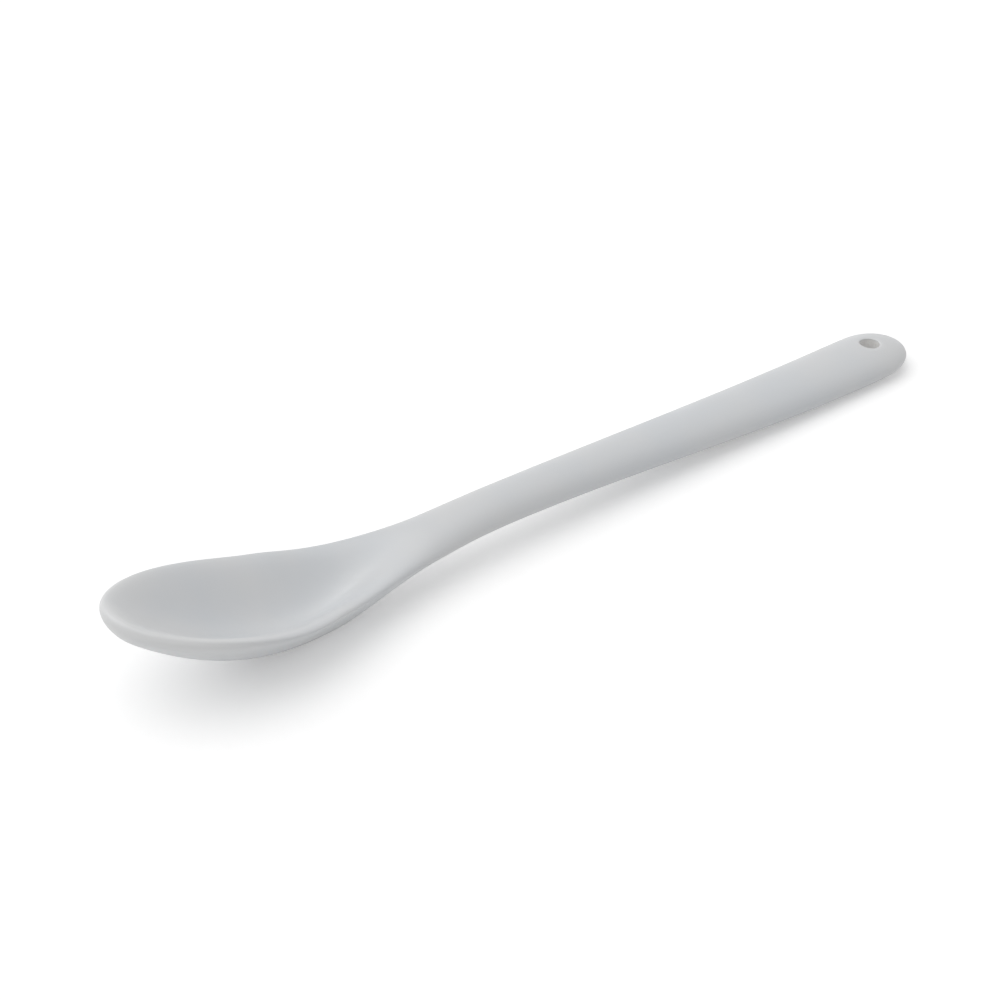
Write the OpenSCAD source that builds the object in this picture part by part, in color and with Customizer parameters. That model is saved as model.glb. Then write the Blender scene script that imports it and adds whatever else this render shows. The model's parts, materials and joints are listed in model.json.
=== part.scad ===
// Porcelain relish spoon with a hanging hole, lying on its bare foot and heel.
// Millimetres. +X runs from the bowl's tip to the handle's end and +Z is up.
// The origin is on the table, under the middle of the spoon's length.

/* [Overall] */
// Length over all, from the tip of the bowl to the end of the handle
spoon_l = 140; // [125:1:165]
// Thickness of the glaze coat
glaze_t = 0.3; // [0.2:0.05:0.5]

/* [Bowl] */
// Width of the bowl where it is widest
bowl_w = 22.3; // [19:0.1:28]
// Distance from the tip to the widest place
bowl_widest = 19.6; // [14:0.2:22]
// Fullness of the sides towards the neck, where 1 is the fullest
bowl_fullness = 0.6; // [0.4:0.01:0.95]
// Depth of the dish, from the rim down to its floor
bowl_depth = 6.7; // [5:0.1:7.5]
// Thickness of the bowl's wall
wall_t = 2.8; // [2.4:0.1:3.2]
// Height of the wall's underside at the tip
tip_z = 13.2; // [10:0.1:15]
// Distance from the tip to the foot, where the underside is lowest
foot_at = 32; // [30:0.5:36]
// Distance from the tip to the deepest place of the dish
deep_at = 28.5; // [24:0.5:31]
// Distance from the tip to the place where the rim begins to soften towards the neck
soft_from = 5; // [2:0.5:10]
// Distance from the tip to the place where the rim has become a round shoulder
soft_to = 30; // [28:0.5:40]
// Distance from the tip to the end of the dish, where the handle begins
dish_end = 52; // [50:0.5:56]
// Depth to which the foot is ground flat into the porcelain
foot_bare = 0.3; // [0.15:0.05:0.5]

/* [Neck] */
// Width of the neck
neck_w = 7.5; // [6:0.1:9]
// Thickness of the neck
neck_t = 4.8; // [3.8:0.1:5.6]
// Distance from the tip to the narrowest place
neck_at = 64; // [59:0.5:70]
// Height of the arch under the neck
arch_z = 3.7; // [1:0.1:5]
// Distance from the tip to the top of the arch
arch_at = 51; // [47:0.5:58]

/* [Handle] */
// Width of the handle where it is widest
grip_w = 10.3; // [8:0.1:14]
// Thickness of the handle
grip_t = 5.3; // [4:0.1:6]
// Length of the round end, seen from above
end_round = 6.4; // [6:0.2:14]
// Length over which the end thins to a round edge, seen from the side
end_thin = 10; // [4:0.2:11]
// Distance from the handle's end to the heel that it lies on
heel_from_end = 5; // [4:0.5:10]
// Depth to which the heel is ground flat into the porcelain
heel_bare = 0.2; // [0.15:0.05:0.4]

/* [Hanging hole] */
// Diameter of the hole
hole_d = 3; // [2:0.1:3.6]
// Distance from the handle's end to the middle of the hole
hole_from_end = 6; // [5.6:0.2:12]

/* [Hidden] */

porcelain_colour = [0.93, 0.92, 0.89];
glaze_colour = [0.88, 0.89, 0.90];

// Places along the spoon, as distances from the tip
grip_at = spoon_l - end_round;
heel_at = spoon_l - heel_from_end;
hole_at = spoon_l - hole_from_end;

// How far the glazed form would reach below the table if it weren't ground flat
foot_cut = glaze_t + foot_bare;
heel_cut = glaze_t + heel_bare;

// Length over which the wall rounds off at the rim of the tip
rim_round = 0.6 * wall_t;

// Section exponents: 2 is an ellipse, and more is squarer
tip_square = 2.2;
bowl_square = 2.8;
handle_square = 2;
square_in = 4;

// How far the rim softens towards the neck, where 0 keeps it crisp and 1 levels it into a shoulder
rim_soft = 0.84;

// Powers of the bowl's curves, along its underside and along the dish
keel_power = 1.9;
dish_power = 2.85;

// Rings along the bowl and the handle, and points in a quarter of a ring
bowl_rings = 40;
handle_rings = 22;
quarter_points = 10;
ring_points = 4 * quarter_points;
bore_fn = 64;
slope_step = 0.05;

function limit(t) = min(1, max(0, t));
function blend(a, b, t) = a + (b - a) * t;

// Smooth step from 0 to 1, level at both ends
function ease(t) = (1 - cos(180 * limit(t))) / 2;

// Leans a step from 0 to 1 towards its start, the more the smaller a is
function lean(t, a) = limit(t) / (limit(t) + a * (1 - limit(t)));

// Quarter ellipse, 1 high at t = 0 and closed at t = 1
function arc(t) = sqrt(max(0, 1 - t * t));

function signed_pow(v, e) = sign(v) * pow(abs(v), e);

// How far the bowl has narrowed to the neck at distance d from the tip
function narrowing(d) = ease(lean((d - bowl_widest) / (neck_at - bowl_widest), bowl_fullness));

// Half of the width in plan at distance d from the tip, set in from the glazed form
function half_width(d, inset) =
    d < bowl_widest ?
        (bowl_w / 2 - inset) * arc((bowl_widest - d) / (bowl_widest - inset)) :
    d < neck_at ?
        blend(bowl_w, neck_w, narrowing(d)) / 2 - inset :
    d < grip_at ?
        blend(neck_w, grip_w, ease((d - neck_at) / (grip_at - neck_at))) / 2 - inset :
        (grip_w / 2 - inset) * arc((d - grip_at) / (end_round - inset));

// Height of the underside along the middle
function keel(d) =
    d < foot_at ? blend(-foot_cut, tip_z, pow(1 - d / foot_at, keel_power)) :
    d < arch_at ? blend(-foot_cut, arch_z, ease((d - foot_at) / (arch_at - foot_at))) :
    blend(arch_z, -heel_cut, ease((d - arch_at) / (heel_at - arch_at)));

function keel_slope(d) = (keel(d + slope_step) - keel(d - slope_step)) / (2 * slope_step);

// Depth of the dish below the rim
function dish(d) =
    d < deep_at ? bowl_depth * (1 - pow(1 - d / deep_at, dish_power)) :
    bowl_depth * (1 - ease((d - deep_at) / (dish_end - deep_at)));

// How far the rim has softened at distance d from the tip
function softness(d) = ease((d - soft_from) / (soft_to - soft_from));

// Height and slope of the dish at a share t of its half width: steepest at a crisp rim, level at a soft one
function rise_at(t, soft) = 1 - pow(1 - t * t, soft + 1);
function slope_at(t, soft) = 2 * (soft + 1) * t * pow(1 - t * t, soft);

// Share of the way from the deepest place to the neck
function neckward(d) = ease((d - deep_at) / (neck_at - deep_at));

// Thickness square to the surface
function thickness(d) =
    d < neck_at ? blend(wall_t, neck_t, neckward(d)) :
    blend(neck_t, grip_t, ease((d - neck_at) / (grip_at - neck_at)));

// Half of the thickness, measured upright
function half_thick(d, inset) = (thickness(d) / 2 - inset) * sqrt(1 + pow(keel_slope(d), 2));

// Share of the thickness that is left near the tip and the handle's end
function end_fade(d, inset) =
    arc(1 - limit((d - inset) / (rim_round - inset))) *
    arc(1 - limit((spoon_l - inset - d) / (end_thin - inset)));

// Section exponent
function square_at(d) =
    blend(tip_square, blend(bowl_square, handle_square, softness(d)), ease(d / square_in));

// Height of the middle of the thickness along the spoon
function middle(d) = keel(d) + half_thick(d, 0);

// Closed section at distance d: a dished middle line with its thickness laid square to it
function ring(d, inset) =
    let (
        w = half_width(d, inset),
        rim_w = half_width(d, 0),
        h = half_thick(d, inset) * end_fade(d, inset),
        power = 2 / square_at(d),
        depth = dish(d),
        soft = rim_soft * softness(d)
    )
    [
        for (quarter = [0 : 3], j = [0 : quarter_points - 1])
            let (
                angle = 90 * (quarter + ease(j / quarter_points)),
                y = w * signed_pow(cos(angle), power),
                across = h * signed_pow(sin(angle), power),
                t = limit(abs(y) / rim_w),
                rise = depth * rise_at(t, soft),
                slope = depth * sign(y) * slope_at(t, soft) / rim_w,
                length = sqrt(1 + slope * slope)
            )
            [d - spoon_l / 2, y - across * slope / length, middle(d) + rise + across / length]
    ];

// Distances of the rings from the tip, closer together towards both ends
function bowl_stations(inset) =
    [for (i = [1 : bowl_rings]) blend(inset, dish_end, 1 - cos(90 * i / bowl_rings))];
function handle_stations(inset) =
    [for (i = [0 : handle_rings - 1]) blend(dish_end, spoon_l - inset, sin(90 * i / handle_rings))];
function spoon_stations(inset) =
    concat(bowl_stations(inset), [for (d = handle_stations(inset)) if (d > dish_end) d]);

function after(j) = (j + 1) % ring_points;
function turned(face, flip) = flip ? [face[2], face[1], face[0]] : face;

// Triangles between neighbouring rings
function side_faces(rings) =
    [
        for (r = [0 : rings - 2], j = [0 : ring_points - 1])
            let (
                a = r * ring_points + j,
                b = r * ring_points + after(j),
                c = a + ring_points,
                d = b + ring_points
            )
            each [[a, c, d], [a, d, b]]
    ];

// Triangles from a ring to the point that closes it
function point_faces(first, point, flip) =
    [for (j = [0 : ring_points - 1]) turned([point, first + j, first + after(j)], flip)];

// Flat face over a ring, as a ladder from its upper to its lower half
function flat_faces(first, flip) =
    let (half = ring_points / 2)
    [
        for (j = [0 : half - 1])
            let (
                upper = first + j,
                next_upper = first + j + 1,
                lower = first + (ring_points - j) % ring_points,
                next_lower = first + ring_points - j - 1
            )
            each concat(
                j == half - 1 ? [] : [turned([upper, next_upper, next_lower], flip)],
                j == 0 ? [] : [turned([upper, next_lower, lower], flip)]
            )
    ];

// Solid through the rings at the given distances, closed by a point or by a flat face at each end
module loft(stations, inset, tip_point, end_point) {
    rings = len(stations);
    last = (rings - 1) * ring_points;
    tip = [inset - spoon_l / 2, 0, middle(inset)];
    end = [spoon_l / 2 - inset, 0, middle(spoon_l - inset)];
    points = concat([for (d = stations) each ring(d, inset)], [tip, end]);
    polyhedron(points, concat(
        side_faces(rings),
        tip_point ? point_faces(0, rings * ring_points, false) : flat_faces(0, false),
        end_point ? point_faces(last, rings * ring_points + 1, true) : flat_faces(last, true)
    ));
}

module hanging_hole() {
    translate([hole_at - spoon_l / 2, 0, -spoon_l / 2])
        cylinder(d = hole_d, h = spoon_l, $fn = bore_fn);
}

module below_table() {
    translate([-spoon_l, -spoon_l, -2 * spoon_l])
        cube(2 * spoon_l);
}

// Porcelain of the dish, from the tip to the seam with the neck
module bowl() {
    color(porcelain_colour)
        difference() {
            loft(bowl_stations(glaze_t), glaze_t, true, false);
            below_table();
        }
}

// Porcelain of the neck and handle
module handle() {
    color(porcelain_colour)
        difference() {
            loft(handle_stations(glaze_t), glaze_t, false, true);
            hanging_hole();
            below_table();
        }
}

// Glaze over all the porcelain, open at the bare foot and heel and at the wall of the hole
module glaze_coat() {
    color(glaze_colour)
        difference() {
            loft(spoon_stations(0), 0, true, true);
            below_table();
            hanging_hole();
            loft(spoon_stations(glaze_t), glaze_t, true, true);
        }
}

bowl();
handle();
glaze_coat();
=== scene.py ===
"""Looks of a glazed porcelain relish spoon: its fired glaze, its bare porcelain and a plain studio stage.

Lengths are in metres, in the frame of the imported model: +X runs from the bowl's tip to the handle's end,
+Z is up, and the spoon lies on the table at z = 0.
"""

import json
import math

import bmesh
import bpy
import numpy as np
from bpy.props import FloatProperty, FloatVectorProperty, IntProperty, PointerProperty
from bpy.types import Operator, Panel, PropertyGroup
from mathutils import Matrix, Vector


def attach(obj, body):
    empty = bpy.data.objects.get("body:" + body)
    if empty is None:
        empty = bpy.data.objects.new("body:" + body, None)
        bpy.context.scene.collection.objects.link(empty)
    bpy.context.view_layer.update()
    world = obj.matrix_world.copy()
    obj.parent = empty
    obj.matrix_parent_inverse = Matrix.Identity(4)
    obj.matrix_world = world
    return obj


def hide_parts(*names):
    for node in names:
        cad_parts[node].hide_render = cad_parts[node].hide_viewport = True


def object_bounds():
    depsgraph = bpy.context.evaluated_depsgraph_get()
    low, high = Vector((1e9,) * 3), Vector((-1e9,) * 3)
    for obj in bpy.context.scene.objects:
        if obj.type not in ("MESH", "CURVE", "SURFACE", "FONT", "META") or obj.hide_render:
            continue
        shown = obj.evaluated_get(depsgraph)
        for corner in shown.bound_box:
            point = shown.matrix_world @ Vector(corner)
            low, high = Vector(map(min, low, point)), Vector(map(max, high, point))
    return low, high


bl_info = {
    "name": "Relish Spoon",
    "version": (1, 0, 0),
    "blender": (4, 5, 0),
    "location": "View3D > Sidebar > Spoon",
    "description": "Builds the fired glaze, the bare porcelain and the studio stage of a relish spoon",
    "category": "Object",
}

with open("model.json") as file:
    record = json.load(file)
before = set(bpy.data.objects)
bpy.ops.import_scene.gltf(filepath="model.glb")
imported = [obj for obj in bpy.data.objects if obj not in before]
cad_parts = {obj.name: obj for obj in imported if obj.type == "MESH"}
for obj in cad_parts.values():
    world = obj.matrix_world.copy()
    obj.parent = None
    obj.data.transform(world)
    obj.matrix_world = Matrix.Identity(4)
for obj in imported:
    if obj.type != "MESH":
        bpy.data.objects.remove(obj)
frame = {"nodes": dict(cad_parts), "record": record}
CAD_LOW, CAD_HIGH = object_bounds()
MM = 0.001
HOLE = next(mount for mount in frame["record"]["mounts"] if mount["name"] == "hanging_hole")


# Settings that a user would change

def length(name, description, default):
    """A length in metres."""
    return FloatProperty(
        name=name, description=description, default=default, min=0,
        precision=5, unit="LENGTH", subtype="DISTANCE",
    )


def number(name, description, default, least):
    """A whole number."""
    return IntProperty(name=name, description=description, default=default, min=least)


def share(name, description, default):
    """A plain number from 0 to 1."""
    return FloatProperty(
        name=name, description=description, default=default, min=0, max=1, subtype="FACTOR"
    )


def strength(name, description, default):
    """A strength of light."""
    return FloatProperty(name=name, description=description, default=default, min=0)


def colour(name, description, default):
    """A linear colour."""
    return FloatVectorProperty(
        name=name, description=description, default=default, size=3, min=0, max=1, subtype="COLOR"
    )


def turn(name, description, degrees):
    """An angle, given in degrees."""
    return FloatProperty(
        name=name, description=description, default=math.radians(degrees), unit="ROTATION", subtype="ANGLE"
    )


class SpoonSizes(PropertyGroup):
    """Sizes of the glazed spoon, the same as those of its solids."""

    spoon_length: length("Length", "From the bowl's tip to the handle's end", CAD_HIGH.x - CAD_LOW.x)
    glaze: length("Glaze", "Thickness of the glaze coat", 0.3 * MM)

    bowl_width: length("Bowl width", "Width of the bowl where it is widest", 22.3 * MM)
    bowl_widest: length("Widest at", "From the tip to the bowl's widest place", 19.6 * MM)
    bowl_fullness: share("Fullness", "Fullness of the bowl's sides towards the neck", 0.6)
    bowl_depth: length("Bowl depth", "From the rim down to the floor of the dish", 6.7 * MM)
    wall: length("Wall", "Thickness of the bowl's wall", 2.8 * MM)
    tip_height: length("Tip height", "Height of the wall's underside at the tip", 13.2 * MM)
    foot_at: length("Foot at", "From the tip to the foot, where the underside is lowest", 32 * MM)
    deep_at: length("Deepest at", "From the tip to the deepest place of the dish", 28.5 * MM)
    soft_from: length("Soft from", "From the tip to the place where the rim begins to soften", 5 * MM)
    soft_to: length("Soft to", "From the tip to the place where the rim is a round shoulder", 30 * MM)
    dish_end: length("Dish end", "From the tip to the end of the dish", 52 * MM)
    foot_bare: length("Foot grinding", "Depth to which the foot is ground into the porcelain", 0.3 * MM)

    neck_width: length("Neck width", "Width of the neck", 7.5 * MM)
    neck_thick: length("Neck thickness", "Thickness of the neck", 4.8 * MM)
    neck_at: length("Neck at", "From the tip to the narrowest place", 64 * MM)
    arch_height: length("Arch", "Height of the arch under the neck", 3.7 * MM)
    arch_at: length("Arch at", "From the tip to the top of the arch", 51 * MM)

    grip_width: length("Grip width", "Width of the handle where it is widest", 10.3 * MM)
    grip_thick: length("Grip thickness", "Thickness of the handle", 5.3 * MM)
    end_round: length("End round", "Length of the round end, seen from above", 6.4 * MM)
    end_thin: length("End thinning", "Length over which the end thins, seen from the side", 10 * MM)
    heel_from_end: length("Heel from end", "From the handle's end to the heel", 5 * MM)
    heel_bare: length("Heel grinding", "Depth to which the heel is ground into the porcelain", 0.2 * MM)

    hole_radius: length("Hole radius", "Radius of the hanging hole", HOLE["dims"]["r_mm"] * MM)
    hole_x: FloatProperty(
        name="Hole place", description="Place of the hole along X", default=HOLE["pos_m"][0], unit="LENGTH"
    )
    hole_lip: length("Hole lip", "Width over which the glaze thins towards the hole", 0.8 * MM)

    bowl_rings: number("Bowl rings", "Rings of points along the bowl", 150, 20)
    handle_rings: number("Handle rings", "Rings of points along the handle", 110, 20)
    quarter_points: number("Quarter points", "Points in a quarter of a ring", 28, 6)


class GlazeFinish(PropertyGroup):
    """Colours and gloss of the fired glaze."""

    pale: colour("Pale", "Most of the glaze", (0.666, 0.673, 0.681))
    cool: colour("Cool", "Clouds in the glaze, where it has pooled", (0.636, 0.655, 0.676))
    # Paler colour where the glaze is thinner, which is also a painted highlight on the tip, the crisp rim,
    # the dish's slope and round the hole
    thin_and_highlight: colour("Thin", "Glaze run thin, off the rim, the slope and the hole", (0.730, 0.735, 0.738))
    smooth: share("Smooth", "Roughness of the glaze where it is smoothest", 0.34)
    satin: share("Satin", "Roughness of the glaze where it is dullest", 0.46)
    ripple: length("Ripple", "Height of the faint ripple in the glaze", 0.02 * MM)
    cloud_size: length("Cloud size", "Size of the cool clouds", 14 * MM)
    satin_size: length("Satin size", "Size of the duller places", 5 * MM)
    ripple_size: length("Ripple size", "Size of the faint ripple", 2.5 * MM)


class PorcelainFinish(PropertyGroup):
    """Colours of the bare, ground porcelain."""

    light: colour("Light", "Fired porcelain", (0.93, 0.925, 0.915))
    dark: colour("Dark", "Kiln dust and wear in the grain", (0.82, 0.80, 0.77))
    roughness: share("Roughness", "Roughness of the ground porcelain", 0.75)
    grain: length("Grain", "Height of the ground grain", 0.05 * MM)
    grain_size: length("Grain size", "Size of the ground grain", 0.3 * MM)
    line_size: length("Line size", "Width of the lines of its grinding", 0.25 * MM)


class StageSettings(PropertyGroup):
    """Camera and light."""

    azimuth: turn("Azimuth", "Camera's direction round the spoon, 0 looking along +Y", -39.22)
    elevation: turn("Elevation", "Camera's height above the horizon", 34.02)
    distance: length("Distance", "From the camera to the place that it looks at", 0.5)
    lens: FloatProperty(
        name="Lens", description="Focal length in mm, on a sensor 36 mm wide", default=130.47, min=1
    )
    aim: FloatVectorProperty(
        name="Aim", description="Place that the camera looks at", default=(-0.00389, 0.00285, 0.00403),
        size=3, unit="LENGTH", subtype="XYZ", precision=5,
    )
    key: strength("Key light", "Strength of the key light", 1.43)
    key_spread: turn("Key spread", "Width of the key light in the sky", 81)
    key_from: FloatVectorProperty(
        name="Key from", description="Direction that the key light comes from", default=(-0.315, 0.292, 1),
        size=3, subtype="XYZ",
    )
    fill: strength("Fill light", "Strength of the sky all round", 0.465)
    floor_size: length("Floor", "Side of the square floor", 3)
    floor: colour("Floor colour", "Colour of the floor and backdrop", (0.9, 0.9, 0.9))
    floor_glow: share("Floor glow", "Light added to the floor where the camera sees it", 0.28)


# Form of the spoon, as distances d from the tip

def blend(a, b, t):
    return a + (b - a) * t


def ease(t):
    """Smooth step from 0 to 1, level at both ends."""
    return (1 - np.cos(np.pi * np.clip(t, 0, 1))) / 2


def lean(t, a):
    """Leans a step from 0 to 1 towards its start, the more the smaller a is."""
    t = np.clip(t, 0, 1)
    return t / (t + a * (1 - t))


def arc(t):
    """Quarter ellipse, 1 high at t = 0 and closed at t = 1."""
    return np.sqrt(np.clip(1 - t * t, 0, None))


def signed_power(value, exponent):
    return np.sign(value) * np.abs(value) ** exponent


class SpoonForm:
    """The spoon's surface.

    An inset of 0 gives the outside of the glaze, and an inset of its thickness the porcelain under it.
    """

    # Section exponents, where 2 is an ellipse and more is squarer, and the length of the tip's own
    TIP_SQUARE = 2.2
    BOWL_SQUARE = 2.8
    HANDLE_SQUARE = 2
    SQUARE_IN = 4 * MM

    # Powers of the curves along the underside and along the dish
    KEEL_POWER = 1.9
    DISH_POWER = 2.85

    # How far the rim softens into a shoulder, and the part of the wall over which it rounds off at the tip
    RIM_SOFT = 0.84
    RIM_ROUND = 0.6

    # Step over which the slope of the underside is measured
    SLOPE_STEP = 0.05 * MM

    # Where the glaze runs thinner and a highlight is painted: length at the tip, share on the slope, and
    # the powers that narrow it
    THIN_HIGHLIGHT_TIP = 5 * MM
    THIN_HIGHLIGHT_SLOPE = 0.3
    THIN_HIGHLIGHT_RIM_POWER = 3
    THIN_HIGHLIGHT_CRISP_POWER = 2
    THIN_HIGHLIGHT_ALONG_POWER = 4
    THIN_HIGHLIGHT_ACROSS_POWER = 3

    def __init__(self, size):
        self.size = size
        self.grip_at = size.spoon_length - size.end_round
        self.heel_at = size.spoon_length - size.heel_from_end
        self.foot_cut = size.glaze + size.foot_bare
        self.heel_cut = size.glaze + size.heel_bare
        self.rim_round = self.RIM_ROUND * size.wall

    def narrowing(self, d):
        """How far the bowl has narrowed to the neck."""
        size = self.size
        return ease(lean((d - size.bowl_widest) / (size.neck_at - size.bowl_widest), size.bowl_fullness))

    def neckward(self, d):
        """Share of the way from the deepest place to the neck."""
        return ease((d - self.size.deep_at) / (self.size.neck_at - self.size.deep_at))

    def gripward(self, d):
        """Share of the way from the neck to the handle's widest place."""
        return ease((d - self.size.neck_at) / (self.grip_at - self.size.neck_at))

    def half_width(self, d, inset):
        """Half of the width, seen from above."""
        size = self.size
        tip = (size.bowl_width / 2 - inset) * arc((size.bowl_widest - d) / (size.bowl_widest - inset))
        side = blend(size.bowl_width, size.neck_width, self.narrowing(d)) / 2 - inset
        grip = blend(size.neck_width, size.grip_width, self.gripward(d)) / 2 - inset
        end = (size.grip_width / 2 - inset) * arc((d - self.grip_at) / (size.end_round - inset))
        return np.select([d < size.bowl_widest, d < size.neck_at, d < self.grip_at], [tip, side, grip], end)

    def keel(self, d):
        """Height of the underside along the middle."""
        size = self.size
        tipward = np.clip(1 - d / size.foot_at, 0, None) ** self.KEEL_POWER
        archward = ease((d - size.foot_at) / (size.arch_at - size.foot_at))
        heelward = ease((d - size.arch_at) / (self.heel_at - size.arch_at))
        tip = blend(-self.foot_cut, size.tip_height, tipward)
        arch = blend(-self.foot_cut, size.arch_height, archward)
        heel = blend(size.arch_height, -self.heel_cut, heelward)
        return np.select([d < size.foot_at, d < size.arch_at], [tip, arch], heel)

    def keel_slope(self, d):
        """Slope of the underside along the middle."""
        step = self.SLOPE_STEP
        return (self.keel(d + step) - self.keel(d - step)) / (2 * step)

    def dish(self, d):
        """Depth of the dish below the rim."""
        size = self.size
        front = 1 - np.clip(1 - d / size.deep_at, 0, None) ** self.DISH_POWER
        back = 1 - ease((d - size.deep_at) / (size.dish_end - size.deep_at))
        return size.bowl_depth * np.where(d < size.deep_at, front, back)

    def softness(self, d):
        """How far the rim has softened."""
        return ease((d - self.size.soft_from) / (self.size.soft_to - self.size.soft_from))

    def thickness(self, d):
        """Thickness square to the surface."""
        size = self.size
        bowl = blend(size.wall, size.neck_thick, self.neckward(d))
        grip = blend(size.neck_thick, size.grip_thick, self.gripward(d))
        return np.where(d < size.neck_at, bowl, grip)

    def half_thick(self, d, inset):
        """Half of the thickness, measured upright."""
        return (self.thickness(d) / 2 - inset) * np.sqrt(1 + self.keel_slope(d) ** 2)

    def end_fade(self, d, inset):
        """Share of the thickness that is left near the tip and the handle's end."""
        tip = np.clip((d - inset) / (self.rim_round - inset), 0, 1)
        end = np.clip((self.size.spoon_length - inset - d) / (self.size.end_thin - inset), 0, 1)
        return arc(1 - tip) * arc(1 - end)

    def square(self, d):
        """Section exponent: 2 is an ellipse, and more is squarer."""
        body = blend(self.BOWL_SQUARE, self.HANDLE_SQUARE, self.softness(d))
        return blend(self.TIP_SQUARE, body, ease(d / self.SQUARE_IN))

    def middle(self, d):
        """Height of the middle of the thickness."""
        return self.keel(d) + self.half_thick(d, 0)

    def rings(self, d, angles, inset):
        """Points of the closed sections at the distances d, as an array of rings by angles by 3."""
        d = np.asarray(d)[:, None]
        width = self.half_width(d, inset)
        rim_width = self.half_width(d, 0)
        half = self.half_thick(d, inset) * self.end_fade(d, inset)
        power = 2 / self.square(d)
        depth = self.dish(d)
        y = width * signed_power(np.cos(angles), power)
        across = half * signed_power(np.sin(angles), power)
        soft = self.RIM_SOFT * self.softness(d)
        t = np.clip(np.abs(y) / rim_width, 0, 1)
        rise = depth * (1 - (1 - t * t) ** (soft + 1))
        slope = depth * np.sign(y) * 2 * (soft + 1) * t * (1 - t * t) ** soft / rim_width
        run = np.sqrt(1 + slope * slope)
        x = np.broadcast_to(d - self.size.spoon_length / 2, y.shape)
        return np.stack([x, y - across * slope / run, self.middle(d) + rise + across / run], axis=-1)

    def thinning_and_highlight(self, d, angles):
        """How far the glaze has thinned, with a painted highlight, off the tip, the crisp rim and the
        slope, as rings by angles.
        """
        size = self.size
        d = np.asarray(d)[:, None]
        tip = 1 - ease(d / self.THIN_HIGHLIGHT_TIP)
        crisp = (1 - self.softness(d)) ** self.THIN_HIGHLIGHT_CRISP_POWER
        rim = np.abs(np.cos(angles)) ** self.THIN_HIGHLIGHT_RIM_POWER * crisp
        share_along = np.clip((d - size.bowl_widest) / (size.dish_end - size.bowl_widest), 0, 1)
        along = np.sin(np.pi * share_along) ** self.THIN_HIGHLIGHT_ALONG_POWER
        across = np.clip(np.sin(angles), 0, None) ** self.THIN_HIGHLIGHT_ACROSS_POWER
        return np.maximum(np.maximum(tip, rim), self.THIN_HIGHLIGHT_SLOPE * along * across)

    def handle_top(self, x, y, inset):
        """Height of the handle's upper surface, where there is no dish."""
        d = x + self.size.spoon_length / 2
        power = self.square(d)
        inside = np.clip(1 - np.abs(y / self.half_width(d, inset)) ** power, 0, None)
        half = self.half_thick(d, inset) * self.end_fade(d, inset)
        return self.middle(d) + half * inside ** (1 / power)

    def stations(self, inset):
        """Distances of the rings, closer together towards both ends."""
        size = self.size
        bowl = np.arange(1, size.bowl_rings + 1) / size.bowl_rings
        handle = np.arange(1, size.handle_rings) / size.handle_rings
        return np.concatenate([
            blend(inset, size.dish_end, 1 - np.cos(np.pi / 2 * bowl)),
            blend(size.dish_end, size.spoon_length - inset, np.sin(np.pi / 2 * handle)),
        ])

    def angles(self):
        """Angles of the points in a ring, closer together at the rims and along the middle."""
        quarter = np.arange(self.size.quarter_points) / self.size.quarter_points
        return np.concatenate([np.pi / 2 * (side + ease(quarter)) for side in range(4)])


# Mesh of the glaze

# Half of the window round the hole that has its own mesh, and the rings of points in it
HOLE_WINDOW = 2.9 * MM
PATCH_RINGS = 14

# Share of the glaze that is left at the hole's edge
LIP_EDGE = 0.25

TABLE_TOLERANCE = 0.001 * MM
# Attribute of thinner glaze, which also carries a painted highlight
THIN_GLAZE_AND_HIGHLIGHT = "thin_glaze_and_painted_highlight"


def window(form):
    """Ring and point numbers round the part of the upper surface that the hole's patch takes up."""
    size = form.size
    stations = form.stations(0)
    angles = form.angles()
    x = stations - size.spoon_length / 2
    first_ring = np.searchsorted(x, size.hole_x - HOLE_WINDOW)
    last_ring = np.searchsorted(x, size.hole_x + HOLE_WINDOW)
    row = form.rings(stations[[(first_ring + last_ring) // 2]], angles, 0)[0]
    upper = np.arange(len(angles) // 2)
    inside = upper[np.abs(row[upper, 1]) < HOLE_WINDOW]
    return first_ring, last_ring, inside[0], inside[-1]


def window_loop(first_ring, last_ring, first_point, last_point):
    """Ring and point numbers along the window's edge, in order."""
    return (
        [(ring, first_point) for ring in range(first_ring, last_ring)]
        + [(last_ring, point) for point in range(first_point, last_point)]
        + [(ring, last_point) for ring in range(last_ring, first_ring, -1)]
        + [(first_ring, point) for point in range(last_point, first_point, -1)]
    )


def lip_thinning_and_highlight(form, radius):
    """How far the glaze has thinned at a distance from the hole's axis, which also sets a painted highlight
    round the hole.
    """
    size = form.size
    near = np.clip(1 - (radius - size.hole_radius) / size.hole_lip, 0, 1)
    return 1 - arc(near)


def hole_patch(bm, form, loop, inset, rounded):
    """Rings of points from the window's edge in to the hole. Returns the rings, the hole's own last."""
    size = form.size
    thin_and_highlight = bm.verts.layers.float[THIN_GLAZE_AND_HIGHLIGHT]
    edge = np.array([vert.co.xy for vert in loop]) - (size.hole_x, 0)
    angle = np.arctan2(edge[:, 1], edge[:, 0])
    round_hole = size.hole_radius * np.stack([np.cos(angle), np.sin(angle)], axis=-1)
    rings = [loop]
    for step in range(1, PATCH_RINGS + 1):
        spot = blend(edge, round_hole, math.sin(math.pi / 2 * step / PATCH_RINGS))
        z = form.handle_top(spot[:, 0] + size.hole_x, spot[:, 1], inset)
        lip = lip_thinning_and_highlight(form, np.hypot(spot[:, 0], spot[:, 1]))
        if rounded:
            z = z - size.glaze * (1 - LIP_EDGE) * lip
        ring = [bm.verts.new((x + size.hole_x, y, height)) for (x, y), height in zip(spot, z)]
        # Thinner glaze at the lip, also a painted highlight round the hole
        for vert, share_thin_and_highlight in zip(ring, lip):
            vert[thin_and_highlight] = share_thin_and_highlight
        rings.append(ring)
    return rings


def add_faces(bm, rings, flip):
    """Quads between neighbouring rings of points."""
    for first, second in zip(rings, rings[1:]):
        count = len(first)
        for point in range(count):
            after = (point + 1) % count
            corners = (first[point], second[point], second[after], first[after])
            bm.faces.new(corners[::-1] if flip else corners)


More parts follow.
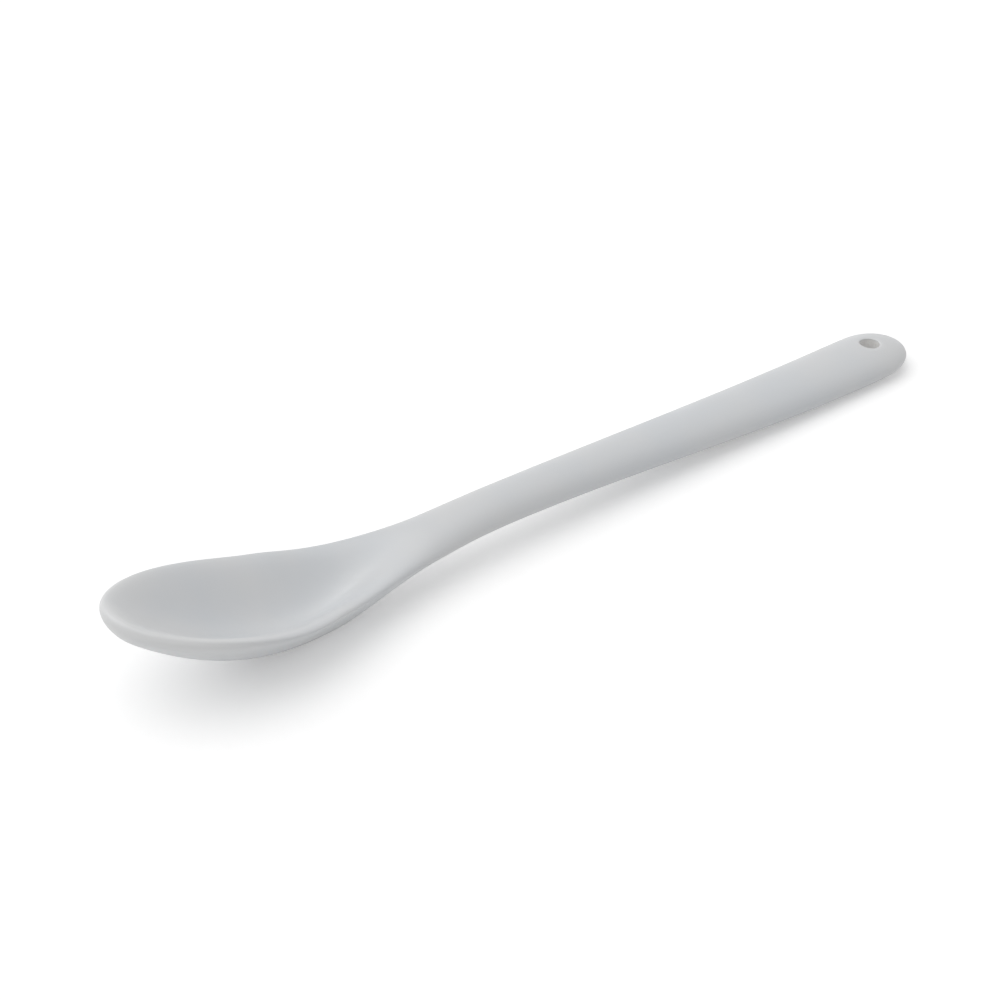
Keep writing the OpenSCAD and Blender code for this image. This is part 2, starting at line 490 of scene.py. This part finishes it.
def add_skin(bm, form, inset):
    """One side of the glaze: its outside, or its inside against the porcelain.

    Returns the points round the hole.
    """
    inner = inset > 0
    stations = form.stations(inset)
    angles = form.angles()
    points = form.rings(stations, angles, inset)
    first_ring, last_ring, first_point, last_point = window(form)
    verts = [[bm.verts.new(point) for point in ring] for ring in points]
    thin_and_highlight = bm.verts.layers.float[THIN_GLAZE_AND_HIGHLIGHT]
    # Thinner glaze at each point, also a painted highlight on the tip, the crisp rim and the dish's slope
    for ring, row in zip(verts, form.thinning_and_highlight(stations, angles)):
        for vert, share_thin_and_highlight in zip(ring, row):
            vert[thin_and_highlight] = share_thin_and_highlight
    count = len(angles)
    for ring in range(len(stations) - 1):
        here, following = verts[ring], verts[ring + 1]
        for point in range(count):
            if first_ring <= ring < last_ring and first_point <= point < last_point:
                continue
            after = (point + 1) % count
            corners = (here[point], following[point], following[after], here[after])
            bm.faces.new(corners[::-1] if inner else corners)
    half_length = form.size.spoon_length / 2
    for ring, d in ((verts[0], inset), (verts[-1], form.size.spoon_length - inset)):
        pole = bm.verts.new((d - half_length, 0, form.middle(np.array(d))))
        pole[thin_and_highlight] = ring[0][thin_and_highlight]
        at_tip = ring is verts[0]
        for point in range(count):
            corners = (pole, ring[point], ring[(point + 1) % count])
            bm.faces.new(corners[::-1] if inner == at_tip else corners)
    places = window_loop(first_ring, last_ring, first_point, last_point)
    loop = [verts[ring][point] for ring, point in places]
    rings = hole_patch(bm, form, loop, inset, rounded=not inner)
    add_faces(bm, rings, flip=not inner)
    return rings[-1]


def grind_flat(bm):
    """Cuts the skins at the table and closes the glaze between them, round the bare foot and heel."""
    everything = bm.verts[:] + bm.edges[:] + bm.faces[:]
    bmesh.ops.bisect_plane(bm, geom=everything, plane_co=(0, 0, 0), plane_no=(0, 0, 1), clear_inner=True)
    cut = [edge for edge in bm.edges if edge.is_boundary]
    for edge in cut:
        if any(abs(vert.co.z) > TABLE_TOLERANCE for vert in edge.verts):
            raise RuntimeError("the glaze has an open edge away from the table")
        edge.smooth = False
    for place in (-1, 1):
        ring = [edge for edge in cut if edge.verts[0].co.x * place > 0]
        bmesh.ops.triangle_fill(bm, use_beauty=True, edges=ring, normal=(0, 0, -1))


def glaze_mesh(form):
    """The whole glaze, closed round the foot, the heel and the hole."""
    bm = bmesh.new()
    bm.verts.layers.float.new(THIN_GLAZE_AND_HIGHLIGHT)
    outside = add_skin(bm, form, 0)
    inside = add_skin(bm, form, form.size.glaze)
    add_faces(bm, [outside, inside], flip=True)
    loose = [vert for vert in bm.verts if not vert.link_faces]
    bmesh.ops.delete(bm, geom=loose, context="VERTS")
    grind_flat(bm)
    for face in bm.faces:
        face.smooth = True
    mesh = bpy.data.meshes.new("fired_glaze")
    bm.to_mesh(mesh)
    bm.free()
    return mesh


# Materials

# Values of a noise between which clouds and gloss, dust and scratches come in
NOISE_LOW, NOISE_HIGH = 0.35, 0.65
DUST_LOW, DUST_HIGH = 0.5, 0.8
SCRATCH_LOW, SCRATCH_HIGH = 0.55, 0.85

# Scale along each axis that draws a noise out into the lines of grinding
GRINDING = (0.08, 1, 1)

GLAZE_IOR = 1.5


def new_material(name):
    """A material with its shader and the object's own coordinates."""
    material = bpy.data.materials.new(name)
    material.use_nodes = True
    nodes = material.node_tree.nodes
    shader = nodes["Principled BSDF"]
    place = nodes.new("ShaderNodeTexCoord").outputs["Object"]
    return material, nodes, material.node_tree.links, shader, place


def noise(nodes, links, place, size, detail):
    """A noise whose features are about as large as size."""
    texture = nodes.new("ShaderNodeTexNoise")
    texture.inputs["Scale"].default_value = 1 / size
    texture.inputs["Detail"].default_value = detail
    links.new(place, texture.inputs["Vector"])
    return texture.outputs["Fac"]


def span(nodes, links, value, low, high, least=0, most=1):
    """The value, read from least to most as it goes from low to high."""
    node = nodes.new("ShaderNodeMapRange")
    node.inputs["From Min"].default_value = low
    node.inputs["From Max"].default_value = high
    node.inputs["To Min"].default_value = least
    node.inputs["To Max"].default_value = most
    links.new(value, node.inputs["Value"])
    return node.outputs["Result"]


def mixed(nodes, links, factor, first, second):
    """A colour between two, of which the first may come from other nodes."""
    node = nodes.new("ShaderNodeMix")
    node.data_type = "RGBA"
    links.new(factor, node.inputs["Factor"])
    if isinstance(first, bpy.types.NodeSocket):
        links.new(first, node.inputs["A"])
    else:
        node.inputs["A"].default_value = (*first, 1)
    node.inputs["B"].default_value = (*second, 1)
    return node.outputs["Result"]


def stretched(nodes, links, place, factors):
    """The place, scaled along each axis."""
    node = nodes.new("ShaderNodeMapping")
    node.inputs["Scale"].default_value = factors
    links.new(place, node.inputs["Vector"])
    return node.outputs["Vector"]


def bumped(nodes, links, height, depth):
    """A normal that follows the height."""
    node = nodes.new("ShaderNodeBump")
    node.inputs["Strength"].default_value = 1
    node.inputs["Distance"].default_value = depth
    links.new(height, node.inputs["Height"])
    return node.outputs["Normal"]


def glaze_material(finish):
    """White satin glaze, cooler in soft clouds and paler where it has thinned, also as a painted highlight,
    with a faint ripple.
    """
    material, nodes, links, shader, place = new_material("fired_glaze")
    pooling = noise(nodes, links, place, finish.cloud_size, detail=3)
    clouds = span(nodes, links, pooling, NOISE_LOW, NOISE_HIGH)
    body = mixed(nodes, links, clouds, finish.pale, finish.cool)
    # Paler where the glaze has thinned, which is also a painted highlight
    thin_and_highlight = nodes.new("ShaderNodeAttribute")
    thin_and_highlight.attribute_name = THIN_GLAZE_AND_HIGHLIGHT
    links.new(mixed(nodes, links, thin_and_highlight.outputs["Fac"], body, finish.thin_and_highlight), shader.inputs["Base Color"])
    dulling = noise(nodes, links, place, finish.satin_size, detail=4)
    gloss = span(nodes, links, dulling, NOISE_LOW, NOISE_HIGH, finish.smooth, finish.satin)
    links.new(gloss, shader.inputs["Roughness"])
    ripple = noise(nodes, links, place, finish.ripple_size, detail=2)
    links.new(bumped(nodes, links, ripple, finish.ripple), shader.inputs["Normal"])
    shader.inputs["IOR"].default_value = GLAZE_IOR
    return material


def porcelain_material(finish):
    """Bare porcelain: matt, a little warm, with a fine grain and the lines of its grinding."""
    material, nodes, links, shader, place = new_material("bare_porcelain")
    grain = noise(nodes, links, place, finish.grain_size, detail=4)
    lines = noise(nodes, links, stretched(nodes, links, place, GRINDING), finish.line_size, detail=3)
    dust = span(nodes, links, grain, DUST_LOW, DUST_HIGH)
    body = mixed(nodes, links, dust, finish.light, finish.dark)
    scratches = span(nodes, links, lines, SCRATCH_LOW, SCRATCH_HIGH)
    links.new(mixed(nodes, links, scratches, body, finish.dark), shader.inputs["Base Color"])
    links.new(bumped(nodes, links, grain, finish.grain), shader.inputs["Normal"])
    shader.inputs["Roughness"].default_value = finish.roughness
    return material


def floor_material(stage):
    """Plain pale floor, which glows a little where the camera sees it: white, with the spoon's shadow."""
    material = bpy.data.materials.new("studio_floor")
    material.use_nodes = True
    nodes, links = material.node_tree.nodes, material.node_tree.links
    nodes.remove(nodes["Principled BSDF"])
    matt = nodes.new("ShaderNodeBsdfDiffuse")
    matt.inputs["Color"].default_value = (*stage.floor, 1)
    glow = nodes.new("ShaderNodeEmission")
    links.new(seen_directly(nodes, links, 0, stage.floor_glow), glow.inputs["Strength"])
    both = nodes.new("ShaderNodeAddShader")
    links.new(matt.outputs["BSDF"], both.inputs[0])
    links.new(glow.outputs["Emission"], both.inputs[1])
    links.new(both.outputs["Shader"], nodes["Material Output"].inputs["Surface"])
    return material


def seen_directly(nodes, links, unseen, seen):
    """One strength for what the camera sees, also in gloss and glass, and another for all other light."""
    path = nodes.new("ShaderNodeLightPath")
    total = path.outputs["Is Camera Ray"]
    for ray in ("Is Glossy Ray", "Is Transmission Ray"):
        either = nodes.new("ShaderNodeMath")
        either.operation = "MAXIMUM"
        links.new(total, either.inputs[0])
        links.new(path.outputs[ray], either.inputs[1])
        total = either.outputs["Value"]
    node = nodes.new("ShaderNodeMapRange")
    node.inputs["To Min"].default_value = unseen
    node.inputs["To Max"].default_value = seen
    links.new(total, node.inputs["Value"])
    return node.outputs["Result"]


# Stage

FLOOR_DROP = 0.05 * MM
SENSOR_WIDTH = 36
CLIP_START = 0.01


def add_floor(stage):
    """A square floor just under the table plane."""
    half = stage.floor_size / 2
    mesh = bpy.data.meshes.new("studio_floor")
    corners = [(-half, -half, 0), (half, -half, 0), (half, half, 0), (-half, half, 0)]
    mesh.from_pydata(corners, [], [(0, 1, 2, 3)])
    mesh.materials.append(floor_material(stage))
    floor = bpy.data.objects.new("studio_floor", mesh)
    floor.location.z = -FLOOR_DROP
    bpy.context.scene.collection.objects.link(floor)


def add_world(stage):
    """A sky that looks white and lights the spoon from all round."""
    world = bpy.data.worlds.new("studio_sky")
    world.use_nodes = True
    nodes, links = world.node_tree.nodes, world.node_tree.links
    sky = nodes["Background"]
    sky.inputs["Color"].default_value = (1, 1, 1, 1)
    links.new(seen_directly(nodes, links, stage.fill, 1), sky.inputs["Strength"])
    bpy.context.scene.world = world


def add_key(stage):
    """A broad, soft key light from above."""
    lamp = bpy.data.lights.new("key", "SUN")
    lamp.energy = stage.key
    lamp.angle = stage.key_spread
    key = bpy.data.objects.new("key", lamp)
    key.rotation_mode = "QUATERNION"
    key.rotation_quaternion = Vector(stage.key_from).to_track_quat("Z", "Y")
    bpy.context.scene.collection.objects.link(key)


def add_camera(stage):
    """The camera, turned to the place that it looks at."""
    level = math.cos(stage.elevation)
    back = Vector((
        math.sin(stage.azimuth) * level,
        -math.cos(stage.azimuth) * level,
        math.sin(stage.elevation),
    ))
    lens = bpy.data.cameras.new("camera")
    lens.sensor_width = SENSOR_WIDTH
    lens.lens = stage.lens
    lens.clip_start = CLIP_START
    camera = bpy.data.objects.new("camera", lens)
    camera.location = Vector(stage.aim) + back * stage.distance
    camera.rotation_mode = "QUATERNION"
    camera.rotation_quaternion = (-back).to_track_quat("-Z", "Y")
    bpy.context.scene.collection.objects.link(camera)
    bpy.context.scene.camera = camera


# Operators, panel and registration

class SPOON_OT_bare_porcelain(Operator):
    """Gives the porcelain of the bowl and the handle its bare, ground finish"""

    bl_idname = "spoon.bare_porcelain"
    bl_label = "Bare Porcelain"

    def execute(self, context):
        material = porcelain_material(context.scene.spoon_porcelain)
        for node in ("bowl", "handle"):
            piece = frame["nodes"][node]
            piece.data.materials.clear()
            piece.data.materials.append(material)
        return {"FINISHED"}


class SPOON_OT_fired_glaze(Operator):
    """Builds the glaze over all the porcelain, open at the foot, the heel and the hanging hole"""

    bl_idname = "spoon.fired_glaze"
    bl_label = "Fired Glaze"

    def execute(self, context):
        mesh = glaze_mesh(SpoonForm(context.scene.spoon_sizes))
        mesh.materials.append(glaze_material(context.scene.spoon_glaze))
        glaze = bpy.data.objects.new("fired_glaze", mesh)
        context.scene.collection.objects.link(glaze)
        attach(glaze, "root")
        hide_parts("glaze_coat")
        return {"FINISHED"}


class SPOON_OT_stage(Operator):
    """Sets up the floor, the light and the camera"""

    bl_idname = "spoon.stage"
    bl_label = "Studio Stage"

    def execute(self, context):
        stage = context.scene.spoon_stage
        add_floor(stage)
        add_world(stage)
        add_key(stage)
        add_camera(stage)
        context.scene.view_settings.view_transform = "Standard"
        return {"FINISHED"}


class SPOON_PT_panel(Panel):
    """Sizes, finishes and stage of the spoon"""

    bl_idname = "SPOON_PT_panel"
    bl_label = "Relish Spoon"
    bl_space_type = "VIEW_3D"
    bl_region_type = "UI"
    bl_category = "Spoon"

    def draw(self, context):
        for settings, operators in GROUPS:
            box = self.layout.box()
            group = getattr(context.scene, settings)
            for name in group.__annotations__:
                box.prop(group, name)
            for operator in operators:
                box.operator(operator)


GROUPS = (
    ("spoon_sizes", ()),
    ("spoon_porcelain", ("spoon.bare_porcelain",)),
    ("spoon_glaze", ("spoon.fired_glaze",)),
    ("spoon_stage", ("spoon.stage",)),
)
SETTINGS = {
    "spoon_sizes": SpoonSizes,
    "spoon_porcelain": PorcelainFinish,
    "spoon_glaze": GlazeFinish,
    "spoon_stage": StageSettings,
}
CLASSES = (
    *SETTINGS.values(), SPOON_OT_bare_porcelain, SPOON_OT_fired_glaze, SPOON_OT_stage, SPOON_PT_panel,
)


def register():
    for cls in CLASSES:
        bpy.utils.register_class(cls)
    for name, group in SETTINGS.items():
        setattr(bpy.types.Scene, name, PointerProperty(type=group))


def unregister():
    for name in SETTINGS:
        delattr(bpy.types.Scene, name)
    for cls in reversed(CLASSES):
        bpy.utils.unregister_class(cls)


def main():
    register()
    bpy.ops.spoon.bare_porcelain()
    bpy.ops.spoon.fired_glaze()
    bpy.ops.spoon.stage()


if __name__ == "__main__":
    main()
